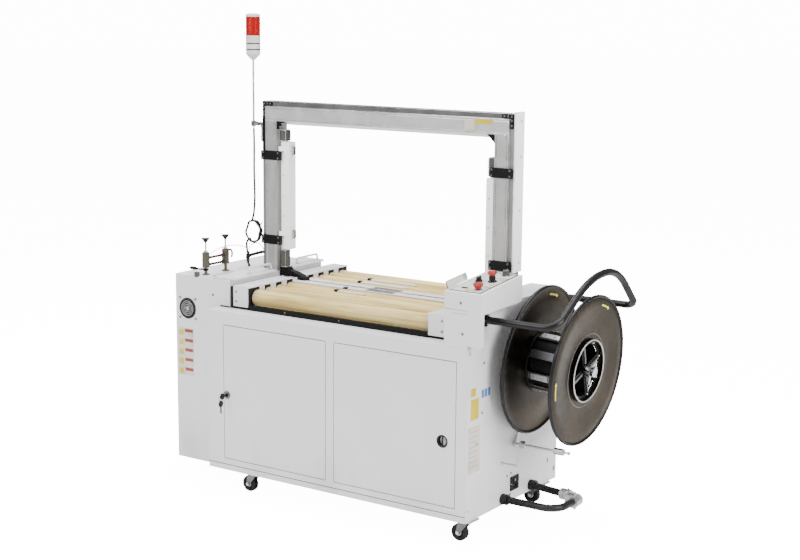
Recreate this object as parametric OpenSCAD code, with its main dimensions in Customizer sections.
// Arch-type strapping machine with a powered roller table, an external strap reel and a stack light.
// Origin: on the floor, under the middle of the arch opening.
// +X runs along the front towards the reel, +Y is the way packages travel, +Z is up. Millimetres.

/* [Cabinet] */
// Overall length of the cabinet, from the left tower to the right side
body_l = 1333; // [1300:1:1400]
// Depth of the cabinet, from the door face to the back panel
body_d = 628; // [620:1:660]
// Width of the left tower
tower_w = 264; // [255:1:264]
// How far the door frame stands in front of the tower
front_d = 70; // [60:1:80]
// Height of the left tower
tower_h = 775; // [770:1:785]
// Height of the ledge above the doors
ledge_h = 675; // [670:1:675]
// Underside of the cabinet above the floor
skirt_h = 81; // [78:1:85]
// Sheet metal thickness
sheet = 2; // [1.5:0.5:2]

/* [Roller table] */
// Height of the roller tops above the floor
table_h = 746; // [742:1:750]
// Roller diameter
roller_d = 60; // [50:1:60]
// Roller length
roller_l = 770; // [700:5:770]
// Distance from one roller to the next
roller_pitch = 65; // [64:1:66]
// Rollers on each side of the arch
rollers_per_side = 4; // [4]

/* [Arch] */
// Clear width between the legs
arch_w = 946; // [946:1:960]
// Underside of the beam above the floor
arch_z = 1342; // [1300:1:1400]
// Width of the bright front flange of leg and beam
flange_w = 54; // [50:1:60]
// Width of the darker band outside the flange
band_w = 19; // [15:1:22]
// Depth of leg and beam
arch_d = 64; // [60:1:64]

/* [Strap reel] */
// Reel flange diameter
reel_d = 520; // [480:5:520]
// Distance between the two flanges
reel_gap = 167; // [160:1:175]
// Downward slope of the reel shaft, in degrees
reel_tilt = 4.5; // [0:0.5:5]

/* [Casters] */
// Caster wheel diameter
wheel_d = 60; // [50:1:60]
// Caster wheel width
wheel_w = 22; // [18:1:24]

/* [Hidden] */

$fn = 48;
fit = 0.05;     // radial clearance of a running fit
gap = 3;        // gap round a door

// Cabinet planes
x_l = -742;                 // left side of the tower
x_t = x_l + tower_w;        // right side of the tower
x_r = x_l + body_l;         // right side of the cabinet
y_f = -376;                 // door face
y_t = y_f + front_d;        // front of the tower
y_b = y_f + body_d;         // back panel
x_f = x_t - 47;             // left end of the door frame
x_c = 470;                  // inner wall of the right column
top_r = 790;                // top of the right column
tower_z = 66;               // underside of the tower
rail = 30;                  // square tube of the base frame
ring_z = 645;               // underside of the upper frame ring

// Roller table
roller_z = table_h - roller_d / 2;
axle_r = 6;
web_x = 391;                // inner face of each side channel
side_x = 459;               // outer face of each side channel
side_z0 = 684;
side_z1 = 756;
table_y = 306;              // half length of the table
rows = [for (s = [-1, 1], k = [1 : rollers_per_side]) s * k * roller_pitch];

// Arch
leg_x = arch_w / 2;
beam_z1 = arch_z + flange_w;
out_x = leg_x + flange_w + band_w;
out_z = beam_z1 + band_w;
arch_y = arch_d / 2;
wall = 4;                   // wall of the leg and beam extrusions
band_z = [893, 1213];       // heights of the black bands on the legs

// Doors: [left edge, right edge, bottom, top]
left_opening = [-451, 15, 124, 627];
right_opening = [48, 550, 124, 627];
door_t = 20;
pin_r = 3;
pin_in = 6;                 // pivot pin inset from the door face and the door edge
lock_x = -434;
lock_z = 366;
pull_x = 498;
pull_z = 350;

// Controls, in the plane of the sloping panel: [across, up the slope]
box_x0 = 498;
box_w = 141;
box_y1 = -110;
box_front_h = 859;
box_back_h = 887;
panel_a = atan((box_back_h - box_front_h) / (box_y1 - y_f));
stem_r = 6;
stop_at = [99, 49];
emergency_at = [91, 152];
mode_at = [50, 134];
timer_at = [95, 235];

// Reel: the far flange sits at this point of the shaft line
reel_at = [656, 6, 577];
shaft_r = 10;
reel_in = 104;              // radius of the opening in a flange
drum_r = 102;               // radius of the coil support drum

// Side fittings
hoop_r = 12.5;
tube_r = 12.5;
dancer_at = [x_r, 0, 430];
dancer_rod_at = [x_r, -61, 285];
socket_at = [x_r, -55, 142];

// Feed unit on the tower
feed_x = -629;
feed_y = [-262, -150];
screw_r = 3;

// Casters: [swivel x, swivel y]
caster_at = [[-353, -323], [558, -323], [-353, 171], [558, 171]];
caster_trail = 18;
axle_pin_r = 4;
king_r = 6;

// Fan
fan_at = [-682, 649];
fan_hole_r = 37;

// Colours
white = [0.9, 0.9, 0.89];
alloy = [0.72, 0.73, 0.74];
steel = [0.6, 0.61, 0.62];
black = [0.1, 0.1, 0.1];
tan = [0.83, 0.76, 0.6];
bronze = [0.36, 0.32, 0.25];
red = [0.8, 0.12, 0.1];
grey = [0.45, 0.45, 0.43];

// A block between two corners
module block(a, b) {
    translate(a) cube(b - a);
}

// A cylinder of radius r from point p, length h, along "x", "y" or "z"
module rod(p, r, h, along = "z") {
    turn = along == "x" ? [0, 90, 0] : along == "y" ? [-90, 0, 0] : [0, 0, 0];
    translate(p) rotate(turn) cylinder(r = r, h = h);
}

// The children as drawn, or mirrored to the left when side is -1
module either_side(side) {
    if (side < 0) mirror([1, 0, 0]) children();
    else children();
}

// A part torus that starts at the origin along +Z and bends towards +X, short of both ends by cut
module bend(r, angle, bend_r, cut) {
    trim = cut / bend_r * 180 / PI;
    translate([bend_r, 0, 0]) rotate([90, 0, 180]) rotate([0, 0, trim])
        rotate_extrude(angle = angle - 2 * trim) translate([bend_r, 0]) circle(r = r);
}

// A thin weld sleeve over a cut in a bar
module sleeve(r, cut) {
    if (cut > 0) translate([0, 0, -5 * cut]) cylinder(r = r + 0.3, h = 10 * cut);
}

// A bent bar that starts at the origin along +Z.
// Each step is [straight length, bend angle, bend radius, turn about the bar before the bend].
// With a cut, straights and bends are separate pieces joined by sleeves.
module bar(r, steps, cut = 0, i = 0) {
    if (i < len(steps)) {
        s = steps[i];
        z0 = i > 0 ? cut : 0;
        z1 = s[1] > 0 ? s[0] - cut : s[0];
        if (z1 > z0) translate([0, 0, z0]) cylinder(r = r, h = z1 - z0);
        if (s[1] > 0) translate([0, 0, s[0]]) rotate([0, 0, s[3]]) {
            sleeve(r, cut);
            bend(r, s[1], s[2], cut);
            translate([s[2] * (1 - cos(s[1])), 0, s[2] * sin(s[1])]) rotate([0, s[1], 0]) {
                sleeve(r, cut);
                bar(r, steps, cut, i + 1);
            }
        }
    }
}

// Children at a point of the sloping control panel, with +Z out of the panel
module on_panel(at) {
    translate([box_x0, y_f, box_front_h]) rotate([panel_a, 0, 0]) translate([at[0], at[1], 0]) children();
}

// Children on the reel shaft line, with +Z out along the shaft
module on_reel(s = 0) {
    translate(reel_at) rotate([0, 90 + reel_tilt, 0]) translate([0, 0, s]) children();
}

// Welded square-tube frame inside the cabinet
module base_frame() {
    x0 = x_l + sheet + 2;
    x1 = x_r - sheet - 3;
    xm = x_t + 4;
    y0 = y_t + 4;
    y1 = y_b - 4;
    uprights = [x0, xm, x1 - rail];
    color(steel) {
        for (y = [y0, y1 - rail]) {
            block([x0, y, skirt_h], [x1, y + rail, skirt_h + rail]);
            block([xm, y, ring_z], [x1, y + rail, ring_z + rail]);
            block([xm, y, 390], [x1, y + rail, 390 + rail]);
            for (x = uprights) {
                // The tower upright stops below the fan
                block([x, y, skirt_h + rail], [x + rail, y + rail, x == x0 ? fan_at[1] - 60 : ring_z]);
            }
        }
        for (x = uprights) {
            block([x, y0 + rail, skirt_h], [x + rail, y1 - rail, skirt_h + rail]);
        }
        for (x = [xm, x1 - rail]) {
            block([x, y0 + rail, ring_z], [x + rail, y1 - rail, ring_z + rail]);
        }
        // Cross rails that carry the strapping head and the drive motor
        for (x = [-145, 115, 285]) block([x, y0 + rail, 390], [x + rail, y1 - rail, 390 + rail]);
        // Cross rails over the rear casters
        for (c = caster_at) {
            if (c[1] > 0) block([c[0] - 15, y0 + rail, skirt_h], [c[0] + 15, y1 - rail, skirt_h + rail]);
        }
    }
}

// Casing of the left tower, open towards the cabinet below the ledge
module tower_shell() {
    color(white) difference() {
        block([x_l, y_t, tower_z], [x_t, y_b, tower_h]);
        block([x_l + sheet, y_t + sheet, tower_z - 1], [x_t - sheet, y_b - sheet, tower_h - sheet]);
        block([x_t - 2 * sheet, y_t + sheet, tower_z - 1], [x_t + 1, y_b - sheet, ring_z + rail + 2]);
        rod([fan_at[0], y_t - 1, fan_at[1]], fan_hole_r, sheet + 2, "y");
        // Cable slots in the left side
        for (z = [140 : 24 : 260]) block([x_l - 1, 60, z], [x_l + sheet + 1, 160, z + 8]);
        // Strap inlet behind the feed clamps
        block([feed_x + 30, feed_y[0] - 8, tower_h - sheet - 1], [feed_x + 60, feed_y[1] + 8, tower_h + 1]);
    }
}

// Casing of the right column: side wall, top and inner wall, in one folded sheet
module right_shell() {
    color(white) difference() {
        union() {
            block([x_r - sheet, y_f, skirt_h], [x_r, y_b, top_r]);
            block([x_c, y_t, top_r - sheet], [x_r, y_b, top_r]);
            block([x_c, y_t, side_z0], [x_c + sheet, y_b, top_r]);
            block([x_c, y_t, ledge_h], [x_r, y_t + sheet, top_r]);
            block([x_c, y_b - sheet, ring_z + rail + 4], [x_r, y_b, top_r]);
            block([x_r - 20, y_b - sheet, skirt_h], [x_r, y_b, top_r]);
        }
        // Front of the side wall above the ledge
        block([x_r - sheet - 1, y_f - 1, ledge_h], [x_r + 1, y_t, top_r + 1]);
        // Slots for the strap
        for (s = [[186, 163], [234, 121]]) {
            block([x_r - sheet - 1, s[0] - 4, s[1] - 9], [x_r + 1, s[0] + 4, s[1] + 9]);
        }
        // Opening for the power socket
        block([x_r - sheet - 1, socket_at[1] - 18, socket_at[2] - 18],
              [x_r + 1, socket_at[1] + 18, socket_at[2] + 18]);
    }
}

// Door frame with the ledge on top, in front of the tower and the base frame
module front_frame() {
    x1 = x_r - sheet;
    color(white) difference() {
        union() {
            difference() {
                block([x_f, y_f, skirt_h], [x1, y_t, ledge_h]);
                // Hollow behind the face, open at the back
                block([x_f + sheet, y_f + sheet, skirt_h + sheet], [x1 - sheet, y_t + 1, ledge_h - sheet]);
            }
            // Stiffening rim round each door opening
            for (o = [left_opening, right_opening]) {
                block([o[0] - 12, y_f + sheet, o[2] - 12], [o[1] + 12, y_f + door_t + 4, o[3] + 12]);
            }
        }
        for (o = [left_opening, right_opening]) {
            block([o[0], y_f - 1, o[2]], [o[1], y_f + door_t + 5, o[3]]);
        }
        // Seam above the bottom rail
        block([x_f - 1, y_f - 1, 102], [x1 + 1, y_f + 0.8, 104]);
        door_pivots();
    }
}

// Pivot pins of both doors, at the top and the bottom, or their holes when grown by extra
module door_pivots(extra = 0) {
    for (x = [left_opening[1] - gap - pin_in, right_opening[0] + gap + pin_in]) {
        rod([x, y_f + pin_in, left_opening[2] - 10], pin_r + extra, 10 + gap + 12);
        rod([x, y_f + pin_in, left_opening[3] - gap - 12], pin_r + extra, 10 + gap + 12);
    }
}

// A folded door with a lipped edge and holes for its pivot pins
module door(o) {
    difference() {
        block([o[0] + gap, y_f, o[2] + gap], [o[1] - gap, y_f + door_t, o[3] - gap]);
        block([o[0] + gap + 14, y_f + sheet, o[2] + gap + 16],
              [o[1] - gap - 14, y_f + door_t + 1, o[3] - gap - 16]);
        door_pivots(fit);
    }
}

// Left door, hinged at its right edge, with the lock barrel
module left_door() {
    color(white) difference() {
        union() {
            door(left_opening);
            rod([lock_x, y_f - 3, lock_z], 12, 3, "y");
            rod([lock_x, y_f + sheet, lock_z], 12, 14, "y");
        }
        rod([lock_x, y_f - 4, lock_z], 7 + fit, 40, "y");
    }
}

// A flat key bow with its ring hole, in the plane x = at[0]
module key_bow(at, hole) {
    difference() {
        rod([at[0] - 1, at[1], at[2]], 12, 2, "x");
        rod([at[0] - 2, hole[0], hole[1]], 2.5, 4, "x");
    }
}

// Lock plug with its cam, the key in it, and the spare key on the ring
module lock_key() {
    bow_y = y_f - 28;
    ring_y = bow_y - 8;
    color(steel) {
        rod([lock_x, y_f - 4, lock_z], 7, 32, "y");
        // Cam, turned down while the door is unlocked
        block([lock_x - 6, y_f + 25, lock_z - 13], [lock_x + 6, y_f + 28, lock_z + 6]);
        // Key in the lock
        block([lock_x - 1, bow_y + 11, lock_z - 3], [lock_x + 1, y_f - 4, lock_z + 3]);
        key_bow([lock_x, bow_y, lock_z], [ring_y, lock_z]);
        // Ring and spare key
        translate([lock_x, ring_y, lock_z - 9]) rotate([90, 0, 0])
            rotate_extrude() translate([9, 0]) circle(r = 0.9);
        key_bow([lock_x, ring_y, lock_z - 26], [ring_y, lock_z - 18]);
        block([lock_x - 1, ring_y - 3, lock_z - 62], [lock_x + 1, ring_y + 3, lock_z - 37]);
    }
}

// Right door, hinged at its left edge, with a round finger pull
module right_door() {
    color(white) difference() {
        union() {
            door(right_opening);
            rod([pull_x, y_f - 2, pull_z], 27, 2, "y");
            rod([pull_x, y_f + sheet, pull_z], 27, 14, "y");
        }
        rod([pull_x, y_f - 3, pull_z], 22, 15, "y");
    }
}

// Removable back panel with ventilation slots
module back_panel() {
    x0 = x_t;
    x1 = x_r - 21;
    color(white) difference() {
        block([x0, y_b - sheet, skirt_h], [x1, y_b, ring_z + rail + 3]);
        for (i = [0 : 7], x = [-360, 260]) {
            block([x, y_b - sheet - 1, 200 + 22 * i], [x + 180, y_b + 1, 208 + 22 * i]);
        }
    }
}

// Both side channels with their cross rails and the fixed roller axles
module table_frame() {
    color(black) for (y = [-table_y + 6, table_y - 36]) {
        block([-side_x, y, ledge_h], [side_x, y + 30, side_z0]);
    }
    color(white) for (s = [-1, 1]) either_side(s) difference() {
        block([web_x, -table_y, side_z0], [side_x, table_y, side_z1]);
        block([web_x + 3, -table_y + 3, side_z0 + 3], [side_x - 3, table_y - 3, side_z1 + 1]);
    }
    color(steel) for (y = rows) rod([-web_x - 12, y, roller_z], axle_r, 2 * web_x + 24, "x");
}

// Bridge plates beside the strap slot, and the bars that fill three valleys between rollers
module table_plates() {
    top = table_h;
    strap_x = [-130, -110];
    color(white) {
        for (s = [-1, 1]) {
            block([-web_x, s > 0 ? 6 : -42, top - 4], [web_x, s > 0 ? 42 : -6, top]);
        }
        // [row valley, left end, right end]
        for (b = [[-1.5, -135, -25], [1.5, -170, 30], [2.5, -170, 30]]) {
            y = b[0] * roller_pitch;
            block([b[1], y - 8, top - 4], [b[2], y + 8, top]);
            block([b[1], y - 1.5, side_z0], [b[2], y + 1.5, top - 4]);
        }
        block([strap_x[0], -table_y + 36, ring_z + rail + 4], [strap_x[1], table_y - 36, side_z0 + 1]);
    }
}

// One cover over the ends of the rollers on one side of the arch, with a notch for each roller
module end_cover() {
    y0 = 46;
    color(white) difference() {
        union() {
            block([web_x - 4, y0, side_z1], [side_x, table_y, side_z1 + 3]);
            block([web_x - 4, y0, table_h - 9], [web_x - 1, table_y, side_z1]);
        }
        for (k = [1 : rollers_per_side]) {
            y = k * roller_pitch;
            outer = k == rollers_per_side ? table_y + 1 - y : 18;
            block([web_x - 5, y - 18, table_h - 10], [web_x, y + outer, side_z1 - 1]);
        }
    }
}

// All four roller end covers
module end_covers() {
    for (s = [-1, 1]) either_side(s) {
        end_cover();
        mirror([0, 1, 0]) end_cover();
    }
}

// Covers over the strap passage on the tower, each with a lifting handle
module access_covers() {
    cover_x = [-560, -463];
    for (y = [[-300, -48, -190], [48, 250, 100]]) {
        color(white) block([cover_x[0], y[0], tower_h], [cover_x[1], y[1], tower_h + 8]);
        color(grey) translate([-482, y[2], tower_h + 8]) handle(130, 22);
    }
}

// A bent lifting handle along +Y with the given span and height
module handle(span, height) {
    r = 4;
    turn = 10;
    bar(r, [[height - turn, 90, turn, 90], [span - 2 * turn, 90, turn, 0], [height - turn, 0, 0, 0]]);
}

// Beam of the arch: a bright hollow flange with a darker band on top
module arch_beam() {
    inner = leg_x + flange_w;
    color(alloy) difference() {
        union() {
            block([-inner, -arch_y, arch_z], [inner, arch_y, beam_z1]);
            block([-out_x, -arch_y + 8, beam_z1], [out_x, arch_y - 8, out_z]);
        }
        block([-inner + wall, -arch_y + wall, arch_z + wall], [inner - wall, arch_y - wall, beam_z1 - wall]);
        // Long grooves in the front face
        for (z = [arch_z + 6, beam_z1 - 8]) {
            block([-inner - 1, -arch_y - 1, z], [inner + 1, -arch_y + 1, z + 2]);
        }
    }
}

// One leg of the arch standing at height z0
module arch_leg(z0) {
    inner = leg_x + flange_w;
    difference() {
        union() {
            block([leg_x, -arch_y, z0], [inner, arch_y, arch_z]);
            block([inner, -arch_y + 8, z0], [out_x, arch_y - 8, beam_z1]);
        }
        block([leg_x + wall, -arch_y + wall, z0 - 1], [inner - wall, arch_y - wall, arch_z - wall]);
        for (x = [leg_x + 6, inner - 8]) block([x, -arch_y - 1, z0 - 1], [x + 2, -arch_y + 1, arch_z + 1]);
    }
}

// Both legs: the left one stands on the tower, the right one on the column
module arch_legs() {
    color(alloy) {
        either_side(-1) arch_leg(tower_h);
        arch_leg(top_r);
    }
}

// Pivot line of the left strap flap
flap_x = -459;
flap_y = -28;
flap_z = [859, 1265];
hinge_r = 3;

// Black steel fittings of the arch: corner plates, gussets, leg bands with hinge pins, and the strap guide
module arch_fittings() {
    inner = leg_x + flange_w;
    color(black) {
        for (s = [-1, 1]) either_side(s) {
            // Corner plate on the dark band
            difference() {
                block([inner - 30, -arch_y + 5, beam_z1 - 32], [out_x - 3, -arch_y + 8, out_z - 3]);
                block([inner - 31, -arch_y + 4, beam_z1 - 33], [inner + 3, -arch_y + 9, beam_z1 + 3]);
            }
            // Gusset in the inner corner, flush with the front of the arch
            translate([0, -arch_y + 16, 0]) rotate([90, 0, 0]) linear_extrude(16)
                polygon([[leg_x, arch_z], [leg_x - 30, arch_z], [leg_x, arch_z - 30]]);
        }
        for (z = band_z) {
            // Right band
            block([leg_x - 14, -arch_y - 4, z - 17], [out_x, -arch_y, z + 17]);
            // Left band with the ear and the pin of the flap hinge
            block([-out_x, -arch_y - 4, z - 17], [flap_x + 4, -arch_y, z + 17]);
            block([-leg_x, -arch_y, z - 17], [flap_x + 4, flap_y + 4, z + 17]);
            rod([flap_x, flap_y, z + 17], hinge_r, 20);
        }
        // Strap guide between the left leg and the table
        translate([0, 14, 0]) rotate([90, 0, 0]) linear_extrude(28)
            polygon([[-472, side_z1], [-web_x, side_z1], [-web_x, table_h], [-352, table_h],
                     [-358, 756], [-400, 772], [-430, 778], [-438, 788], [-472, 788]]);
    }
}

// White covers fixed to the arch: right strap liner, beam liner, end blocks and the cable cover
module arch_covers() {
    color(white) {
        block([leg_x - 37, -20, flap_z[0]], [leg_x, 20, 1190]);
        block([-leg_x + 32, -12, arch_z - 12], [leg_x - 37, 12, arch_z]);
        block([out_x, -26, 872], [out_x + 8, 30, out_z + 6]);
    }
    color(grey) {
        block([leg_x - 32, -15, 1195], [leg_x, 15, 1262]);
        block([-leg_x, -15, flap_z[1] + 2], [-leg_x + 30, 15, flap_z[1] + 45]);
        block([-leg_x + 4, -15, 789], [-leg_x + 26, 15, flap_z[0] - 4]);
    }
}

// Left strap liner, a flap on a vertical hinge with two pull handles
module track_flap() {
    color(white) {
        difference() {
            block([flap_x - 2, -20, flap_z[0]], [flap_x + 36, 20, flap_z[1]]);
            // Strap channel along the outer side
            block([flap_x - 3, -8, flap_z[0] - 1], [flap_x + 4, 8, flap_z[1] + 1]);
        }
        for (z = band_z) difference() {
            union() {
                rod([flap_x, flap_y, z + 17.5], 6, 18);
                block([flap_x, flap_y, z + 17.5], [flap_x + 8, -20, z + 35.5]);
            }
            rod([flap_x, flap_y, z + 16], hinge_r + fit, 22);
        }
    }
    color(black) for (z = [flap_z[0] + 42, flap_z[1] - 48]) {
        translate([flap_x + 36, 0, z]) rotate([90, 0, 90]) handle_small();
    }
}

// A small pull: a strip on two posts
module handle_small() {
    block([-6, 0, 0], [6, 5, 12]);
    block([-6, 27, 0], [6, 32, 12]);
    block([-6, 5, 8], [6, 27, 12]);
}

// Pole of the stack light with its bracket, the white body, and the cap over the lens
module light_post() {
    pole = [-580, -35];
    z = [1262, 1334, 1566, 1587, 1658, 1724, 1733];
    color(steel) {
        block([-out_x - 8, -22, z[0]], [-out_x, 18, z[1]]);
        block([pole[0] - 6, pole[1] - 6, z[1] - 12], [-out_x - 8, -15, z[1]]);
        rod([pole[0], pole[1], z[1] - 20], 4, z[2] - z[1] + 22);
        rod([pole[0], pole[1], z[1] - 16], 8, 20);
    }
    color(white) translate([pole[0], pole[1], 0]) {
        translate([0, 0, z[2]]) cylinder(r1 = 7, r2 = 27, h = z[3] - z[2]);
        // Body with two dark joint lines
        rod([0, 0, z[3]], 27, 17);
        rod([0, 0, z[3] + 17], 25.5, 2);
        rod([0, 0, z[3] + 19], 27, 20);
        rod([0, 0, z[3] + 39], 25.5, 2);
        rod([0, 0, z[3] + 41], 27, z[4] - z[3] - 41);
        rod([0, 0, z[4]], 6, z[5] - z[4]);
        rod([0, 0, z[5]], 27, z[6] - z[5]);
    }
}

// Red lens of the stack light
module light_lens() {
    color(red) translate([-580, -35, 1658]) difference() {
        cylinder(r = 27, h = 66);
        translate([0, 0, -1]) cylinder(r = 24, h = 68);
    }
}

// Two clamp blocks on posts, joined by link bars, at the strap inlet on the tower
module feed_clamps() {
    block_z = [tower_h + 28, tower_h + 85];
    color(grey) difference() {
        union() {
            for (y = feed_y) {
                rod([feed_x, y, tower_h], 6, block_z[0] - tower_h);
                rod([feed_x, y, tower_h], 14, 4);
                block([feed_x - 9, y - 11, block_z[0]], [feed_x + 9, y + 11, block_z[1]]);
            }
            for (z = [37, 63]) rod([feed_x, feed_y[0], tower_h + z], 4, feed_y[1] - feed_y[0], "y");
        }
        for (y = feed_y) rod([feed_x, y, tower_h + 12], screw_r + fit, 90);
    }
}

// Clamp screw with a conical knob
module feed_screw(y) {
    color(black) translate([feed_x, y, 0]) {
        rod([0, 0, tower_h + 14], screw_r, 112);
        translate([0, 0, tower_h + 123]) cylinder(r1 = 5, r2 = 14, h = 12);
        rod([0, 0, tower_h + 135], 14, 4);
    }
}

module feed_screw_1() { feed_screw(feed_y[0]); }
module feed_screw_2() { feed_screw(feed_y[1]); }

// Feed release lever on the front clamp post
module feed_lever() {
    z = tower_h + 16;
    color(black) translate([feed_x, feed_y[0], z]) difference() {
        union() {
            cylinder(r = 10, h = 8);
            block([-70, -4, 1], [-5, 4, 6]);
            rod([-70, 0, 0], 6, 9);
        }
        translate([0, 0, -1]) cylinder(r = 6 + fit, h = 10);
    }
}

// Control box: a folded case whose front plate reaches down to the ledge
module control_box() {
    y1 = y_f + 20;
    color(white) difference() {
        union() {
            translate([box_x0, 0, 0]) rotate([90, 0, 90]) linear_extrude(box_w)
                polygon([[y_f, 683], [y_f, box_front_h], [box_y1, box_back_h],
                         [box_y1, 797], [y1, 790], [y1, 683]]);
            // Column on the ledge
            block([box_x0, y_f, ledge_h], [x_r - sheet - 1, y_t - 1, 792]);
        }
        translate([box_x0 + 2, 0, 0]) rotate([90, 0, 90]) linear_extrude(box_w - 4)
            polygon([[y_f + 2, 700], [y_f + 2, box_front_h - 2.2], [box_y1 - 2, box_back_h - 2.2],
                     [box_y1 - 2, 799.2], [y1 - 2, 792.2], [y1 - 2, 700]]);
        block([box_x0 + 2, y_f + 2, ledge_h + 2], [x_r - sheet - 3, y_t - 3, 794]);
        for (p = [stop_at, emergency_at, mode_at, timer_at]) {
            on_panel(p) translate([0, 0, -20]) cylinder(r = stem_r + fit, h = 40);
        }
    }
}

// Stem of a control through the panel, with its retaining disc
module stem(h) {
    translate([0, 0, -22]) cylinder(r = stem_r, h = h + 22);
    translate([0, 0, -22]) cylinder(r = 9, h = 3);
}

// Red push button with a tapered head
module stop_button() {
    color(red) on_panel(stop_at) {
        stem(12);
        translate([0, 0, 6]) cylinder(r1 = 11, r2 = 18, h = 14);
        translate([0, 0, 20]) cylinder(r1 = 18, r2 = 15, h = 3);
    }
}

// Emergency stop mushroom on its black neck
module emergency_stop() {
    on_panel(emergency_at) {
        color(black) {
            stem(28);
            translate([0, 0, 5]) cylinder(r = 10.5, h = 17);
        }
        color(red) {
            translate([0, 0, 22]) cylinder(r1 = 10.5, r2 = 13, h = 4);
            translate([0, 0, 26]) cylinder(r1 = 13, r2 = 17, h = 6);
            translate([0, 0, 32]) cylinder(r1 = 17, r2 = 12, h = 5);
        }
    }
}

// Selector knob with a grip bar
module mode_knob() {
    color(black) on_panel(mode_at) {
        stem(2);
        translate([0, 0, 1]) cylinder(r = 11, h = 7);
        block([-4, -10, 8], [4, 10, 19]);
    }
}

// Round timer knob with a pointer groove
module timer_knob() {
    color(black) on_panel(timer_at) {
        stem(2);
        translate([0, 0, 1]) cylinder(r = 13, h = 5);
        difference() {
            translate([0, 0, 6]) cylinder(r1 = 11, r2 = 10, h = 13);
            block([-0.8, 2, 17], [0.8, 12, 20]);
        }
    }
}

// Guard hoop: a bent tube over the reel, from the right column to the back of the cabinet
hoop_at = [x_r, -272, 755];
hoop_rise = 31;
hoop_fall = 44;
hoop_mid = 2;
hoop_run = [214, 107, 10, 91];
hoop_bend = [50, 396, 220, 40];
hoop_end_y = hoop_at[1] + (hoop_bend[0] + hoop_run[1]) * cos(hoop_rise)
    + hoop_bend[1] * (sin(hoop_rise) - sin(hoop_mid)) + hoop_run[2] * cos(hoop_mid)
    + hoop_bend[2] * (sin(hoop_mid) + sin(hoop_fall)) + (hoop_run[3] + hoop_bend[3]) * cos(hoop_fall);
hoop_end_z = hoop_at[2] + (hoop_bend[0] + hoop_run[1]) * sin(hoop_rise)
    + hoop_bend[1] * (cos(hoop_mid) - cos(hoop_rise)) + hoop_run[2] * sin(hoop_mid)
    - hoop_bend[2] * (cos(hoop_mid) - cos(hoop_fall)) - (hoop_run[3] + hoop_bend[3]) * sin(hoop_fall);
module guard_hoop() {
    lug_x = x_r - 30;
    back = hoop_run[0] + hoop_bend[0] - hoop_bend[3] + x_r - lug_x;
    color(black) {
        translate(hoop_at) rotate([0, 90, 0]) {
            cylinder(r = 22, h = 6);
            bar(hoop_r, [
                [hoop_run[0], 90, hoop_bend[0], 90 + hoop_rise],
                [hoop_run[1], hoop_rise - hoop_mid, hoop_bend[1], -90],
                [hoop_run[2], hoop_mid + hoop_fall, hoop_bend[2], 0],
                [hoop_run[3], 90, hoop_bend[3], 90],
                [back, 0, 0, 0]
            ], 0.5);
        }
        // Lug that ties the rear leg to the back of the cabinet
        block([lug_x - 4, y_b, hoop_end_z - 9], [lug_x + 18, hoop_end_y + 2, hoop_end_z + 9]);
    }
}

// Fixed reel shaft on its wall plate, with the shoulder and the clamp nut
module reel_shaft() {
    color(steel) {
        block([x_r, -54, 517], [x_r + 8, 66, 637]);
        on_reel(-62) cylinder(r = shaft_r, h = 62 + reel_gap + 30);
        on_reel(-40) cylinder(r = 20, h = 28);
        on_reel(reel_gap + 12) cylinder(r = 20, h = 12);
        for (a = [0 : 120 : 240]) on_reel(reel_gap + 18) rotate([0, 0, a]) rod([12, 0, 0], 5, 34, "x");
    }
}

// One dished flange with a rolled rim and a collar round its opening
module reel_flange() {
    rim = reel_d / 2 - 5;
    rotate_extrude($fn = 96) {
        polygon([[reel_in, 0], [150, 0], [rim - 20, 9], [rim, 5], [rim, 8], [rim - 20, 12],
                 [149, 3], [reel_in + 6, 3], [reel_in + 6, 14], [reel_in, 14]]);
        translate([rim, 6]) circle(r = 5);
    }
}

// Both flanges of the strap reel
module reel_flanges() {
    color(bronze) {
        on_reel(reel_gap) reel_flange();
        on_reel(0) mirror([0, 0, 1]) reel_flange();
    }
}

// Hub: a drum of slats on two spoked end rings, on a long boss
module reel_hub() {
    ring = 4;
    color(steel) on_reel() difference() {
        union() {
            translate([0, 0, -8]) cylinder(r = 22, h = reel_gap + 16);
            for (z = [0, reel_gap - ring]) translate([0, 0, z]) difference() {
                cylinder(r = reel_in + 8, h = ring);
                translate([0, 0, -1]) cylinder(r = drum_r - 10, h = ring + 2);
            }
            for (z = [0, reel_gap - ring], a = [0 : 90 : 270]) {
                translate([0, 0, z]) rotate([0, 0, a + 20]) block([20, -12, 0], [drum_r - 8, 12, ring]);
            }
            for (a = [0 : 45 : 315]) {
                rotate([0, 0, a + 20]) block([drum_r - 5, -14, ring], [drum_r, 14, reel_gap - ring]);
            }
        }
        translate([0, 0, -9]) cylinder(r = shaft_r + fit, h = reel_gap + 18);
    }
}

// Dancer arm: it swings on the side wall and guides the strap with the rollers on its rod
module dancer_arm() {
    lean = atan2(dancer_at[1] - dancer_rod_at[1], dancer_at[2] - dancer_rod_at[2]);
    reach = norm(dancer_at - dancer_rod_at);
    color(steel) difference() {
        union() {
            rod(dancer_at + [6, 0, 0], 14, 6, "x");
            translate(dancer_at + [6, 0, 0]) rotate([-lean, 0, 0]) block([0, -7, -reach], [6, 7, 0]);
            rod(dancer_rod_at + [6, 0, 0], 12, 6, "x");
            rod(dancer_rod_at + [6, 0, 0], 4, 211, "x");
            rod(dancer_rod_at + [27, 0, 0], 13, 22, "x");
            rod(dancer_rod_at + [160, 0, 0], 12, 34, "x");
            rod(dancer_rod_at + [211, 0, 0], 6, 6, "x");
        }
        rod(dancer_at + [5, 0, 0], 6 + fit, 8, "x");
    }
}

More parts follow.
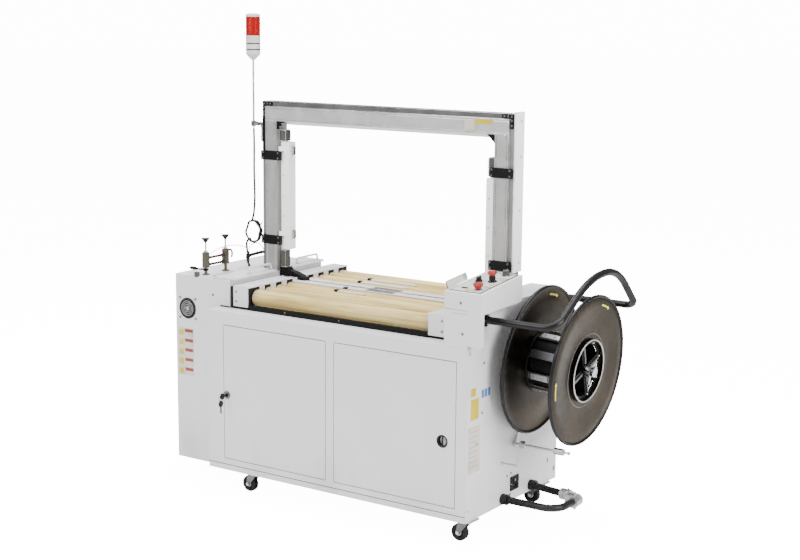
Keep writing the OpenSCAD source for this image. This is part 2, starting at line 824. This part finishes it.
// Two tubes at the foot of the reel side, each in a cap, joined by a clamp
module loop_tubes() {
    z = 104;
    front_y = -135;
    rear_y = 61;
    turn = 60;
    slant = 10;
    front_x = x_r + 154 + turn;
    color(black) {
        for (y = [front_y, rear_y]) rod([x_r, y, z], 18, 24, "x");
        translate([x_r, front_y, z]) rotate([0, 90, 0]) bar(tube_r, [[154, 90, turn, 90], [82, 0, 0, 0]]);
        translate([x_r + 8, rear_y, z]) rotate([0, 90, -slant]) cylinder(r = tube_r, h = 150);
    }
    color(alloy) {
        translate([x_r + 8, rear_y, z]) rotate([0, 90, -slant]) {
            translate([0, 0, 134]) cylinder(r = 20, h = 38);
        }
        rod([front_x, -28, z], 21, 42, "y");
        block([x_r + 172, -3, z - 14], [front_x, 24, z + 14]);
        rod([front_x, -7, z - 30], 5, 60);
    }
}

// Strapping head: two side plates on a base plate, with spacers, the anvil and the cam shaft bores
cam_z = 600;
cam_r = 8;
module strapping_head() {
    half = 95;
    color(steel) difference() {
        union() {
            block([-145, -50, 420], [145, 50, 430]);
            for (y = [-34, 26]) block([-half, y, 430], [half, y + 8, table_h - 8]);
            for (x = [-half + 15, half - 15], z = [460, 690]) rod([x, -26, z], 7, 52, "y");
            block([-60, -26, table_h - 16], [60, 26, table_h - 8]);
            block([-60, -5, table_h - 8], [60, 5, table_h - 2]);
        }
        rod([0, -40, cam_z], cam_r + fit, 80, "y");
    }
}

// Cam shaft with four cams and its drive pulley
module cam_shaft() {
    color(steel) {
        rod([0, -48, cam_z], cam_r, 106, "y");
        for (i = [0 : 3]) {
            translate([0, -22 + 11 * i, cam_z]) rotate([0, 90 * i, 0]) rod([0, 0, 8], 32, 7, "y");
        }
        rod([0, 38, cam_z], 48, 16, "y");
    }
}

// Gear motor of the roller table, on its foot
module drive_motor() {
    at = [130, -120, 485];
    color(grey) {
        rod(at, 52, 150, "x");
        rod(at + [150, 0, 0], 46, 20, "x");
        block(at + [-5, -60, -50], at + [50, 60, 50]);
        block(at + [-5, -60, -65], at + [170, 60, -50]);
        rod(at + [-40, 0, 0], 12, 40, "x");
        for (x = [60 : 12 : 140]) rod(at + [x, 0, 0], 55, 4, "x");
    }
}

// Electrical enclosure on the back wall of the tower
module electrical_box() {
    color(grey) {
        difference() {
            block([-700, 110, 150], [-520, y_b - sheet, 560]);
            block([-698, 109, 152], [-522, y_b - sheet - 2, 558]);
        }
        // Transformer and relay row on the back plate
        block([-680, 190, 152], [-560, y_b - sheet - 2, 240]);
        for (i = [0 : 5]) block([-680 + 25 * i, 205, 330], [-660 + 25 * i, y_b - sheet - 2, 410]);
    }
}

// Caster top plates with their king pins
module caster_plates() {
    color(steel) for (c = caster_at) {
        translate([c[0], c[1], 0]) {
            block([-40, -30, skirt_h - 5], [40, 30, skirt_h]);
            rod([0, 0, 64], king_r, skirt_h - 64);
            rod([0, 0, 64], 9, 3);
        }
    }
}

// Caster fork with the wheel axle, trailing behind its king pin
module fork(c) {
    wheel_z = wheel_d / 2;
    color(steel) translate([c[0], c[1], 0]) difference() {
        union() {
            rod([0, 0, 68], 25, skirt_h - 5 - 0.3 - 68);
            for (y = [-16, 13]) {
                translate([0, y + 3, 0]) rotate([90, 0, 0]) linear_extrude(3)
                    polygon([[-caster_trail - 8.5, wheel_z], [-caster_trail + 8.5, wheel_z], [16, 64],
                             [16, 70], [-20, 70], [-20, 64]]);
                rod([-caster_trail, y, wheel_z], 9, 3, "y");
            }
            rod([-caster_trail, -18, wheel_z], axle_pin_r, 36, "y");
        }
        translate([0, 0, 60]) cylinder(r = king_r + fit, h = 20);
        translate([0, 0, 63]) cylinder(r = 9.3, h = 5);
    }
}

// Caster wheel: a tread with rounded shoulders on a plain bore
module wheel(c) {
    r = wheel_d / 2;
    color(black) translate([c[0] - caster_trail, c[1], r]) rotate([90, 0, 0]) {
        rotate_extrude() difference() {
            union() {
                translate([axle_pin_r + fit, -wheel_w / 2]) square([r - 5 - axle_pin_r, wheel_w]);
                translate([r - 8, -wheel_w / 2 + 3]) square([8, wheel_w - 6]);
                for (s = [-1, 1]) translate([r - 3.6, s * (wheel_w / 2 - 3.6)]) circle(r = 3.6);
            }
            for (s = [-1, 1]) translate([14, s * (wheel_w / 2)]) circle(r = 4);
        }
    }
}

module fork_1() { fork(caster_at[0]); }
module fork_2() { fork(caster_at[1]); }
module fork_3() { fork(caster_at[2]); }
module fork_4() { fork(caster_at[3]); }
module wheel_1() { wheel(caster_at[0]); }
module wheel_2() { wheel(caster_at[1]); }
module wheel_3() { wheel(caster_at[2]); }
module wheel_4() { wheel(caster_at[3]); }

// Table roller: a sleeve on two end discs bored for the fixed axle
module roller(i) {
    r = roller_d / 2;
    color(tan) translate([-roller_l / 2, rows[i], roller_z]) rotate([0, 90, 0]) difference() {
        cylinder(r = r, h = roller_l);
        translate([0, 0, 14]) cylinder(r = r - 4, h = roller_l - 28);
        translate([0, 0, -1]) cylinder(r = axle_r + fit, h = roller_l + 2);
    }
}

module roller_1() { roller(0); }
module roller_2() { roller(1); }
module roller_3() { roller(2); }
module roller_4() { roller(3); }
module roller_5() { roller(4); }
module roller_6() { roller(5); }
module roller_7() { roller(6); }
module roller_8() { roller(7); }

// Fan frame behind the tower wall, with the guard rings in front and the stator pin
module fan_housing() {
    back = y_t + sheet;
    guard_r = fan_hole_r - 0.5;
    color(black) translate([fan_at[0], 0, fan_at[1]]) {
        difference() {
            block([-40, back, -40], [40, back + 22, 40]);
            rod([0, y_t, 0], 36, 30, "y");
        }
        block([-38, back + 18, -3], [38, back + 21, 3]);
        block([-3, back + 18.5, -38], [3, back + 20.5, 38]);
        rod([0, back + 4, 0], 3, 15, "y");
        // Guard rings and their cross bars
        translate([0, y_t - 3, 0]) rotate([-90, 0, 0]) {
            for (r = [8 : 8 : 32]) rotate_extrude() translate([r, 0]) square([2, 2]);
            for (a = [0 : 45 : 135]) rotate([0, 0, a]) block([-guard_r + 1, -1, 0.4], [guard_r - 1, 1, 1.6]);
            cylinder(r = 5, h = 2.4);
            difference() {
                translate([0, 0, -0.4]) cylinder(r = guard_r, h = 9);
                translate([0, 0, -1]) cylinder(r = guard_r - 2, h = 11);
            }
        }
    }
}

// Fan rotor with seven blades
module fan_rotor() {
    color(black) translate([fan_at[0], y_t + sheet + 4, fan_at[1]]) rotate([-90, 0, 0]) difference() {
        union() {
            cylinder(r = 15, h = 13);
            for (a = [0 : 360 / 7 : 359]) rotate([0, 0, a]) translate([13, 0, 6.5]) rotate([35, 0, 0])
                block([0, -9, -0.8], [21, 9, 0.8]);
        }
        translate([0, 0, -1]) cylinder(r = 3 + fit, h = 15);
    }
}

// Power inlet frame in the side wall, with the rocker opening above the socket
module power_socket() {
    y = socket_at[1];
    z = socket_at[2];
    color(black) difference() {
        union() {
            block([x_r, y - 27, z - 25], [x_r + 4, y + 27, z + 25]);
            block([x_r - 22, y - 17.8, z - 17.8], [x_r, y + 17.8, z + 17.8]);
        }
        block([x_r - 12, y - 11, z - 1], [x_r + 5, y + 11, z + 17]);
        block([x_r - 14, y - 12, z - 16], [x_r + 5, y + 12, z - 4]);
        rod([x_r + 1, y - 13, z + 8], 1.5 + fit, 26, "y");
    }
}

// Power rocker on its pivot pin
module power_rocker() {
    y = socket_at[1];
    z = socket_at[2] + 8;
    color(black) {
        block([x_r - 5, y - 10.5, z - 7], [x_r + 6, y + 10.5, z + 7]);
        rod([x_r + 1, y - 12.6, z], 1.5, 25.2, "y");
    }
}

// Screw heads on the outside of the machine, and the pivot pins of the doors
module fasteners() {
    head = 4;
    color(steel) {
        for (p = [[-722, 685], [-647, 685], [-722, 611], [-647, 611], [-558, 713]]) {
            rod([p[0], y_t - 1.6, p[1]], head, 1.6, "y");
        }
        for (s = [-1, 1], z = [702, 738]) rod([s * 446, -table_y - 1.6, z], head, 1.6, "y");
        for (p = [[561, 824], [569, 722]]) rod([p[0], y_f - 1.6, p[1]], head, 1.6, "y");
        for (p = [[-273, 610], [-280, 441], [-312, 342], [-81, 107], [-104, 178], [-77, 182]]) {
            rod([x_r, p[0], p[1]], head, 1.6, "x");
        }
        for (s = [-1, 1], z = band_z, dz = [-10, 10]) {
            rod([s * (leg_x - 8), -arch_y - 5.6, z + dz], 3, 1.6, "y");
        }
        for (x = [-300 : 200 : 300]) rod([x, -table_y + 4.4, 680], 3, 1.6, "y");
        rod([out_x + 8, 8, 1269], head, 1.6, "x");
        // Hook rod for the strap end
        translate([x_r, -141, 234]) rotate([0, 90, 0]) {
            cylinder(r = 7, h = 4);
            bar(3, [[54, 90, 8, 180], [14, 0, 0, 0]]);
        }
        door_pivots();
        // Stud of the dancer arm
        rod(dancer_at, 9, 5.9, "x");
        rod(dancer_at, 6, 18, "x");
        rod(dancer_at + [12.1, 0, 0], 9, 5.9, "x");
    }
}

base_frame();
tower_shell();
right_shell();
front_frame();
back_panel();
table_frame();
table_plates();
end_covers();
access_covers();
arch_beam();
arch_legs();
arch_fittings();
arch_covers();
light_post();
light_lens();
feed_clamps();
control_box();
guard_hoop();
reel_shaft();
loop_tubes();
strapping_head();
drive_motor();
electrical_box();
caster_plates();
fan_housing();
power_socket();
fasteners();
left_door();
lock_key();
right_door();
roller_1();
roller_2();
roller_3();
roller_4();
roller_5();
roller_6();
roller_7();
roller_8();
fork_1();
fork_2();
fork_3();
fork_4();
wheel_1();
wheel_2();
wheel_3();
wheel_4();
reel_flanges();
reel_hub();
dancer_arm();
power_rocker();
fan_rotor();
stop_button();
emergency_stop();
mode_knob();
timer_knob();
feed_screw_1();
feed_screw_2();
feed_lever();
track_flap();
cam_shaft();
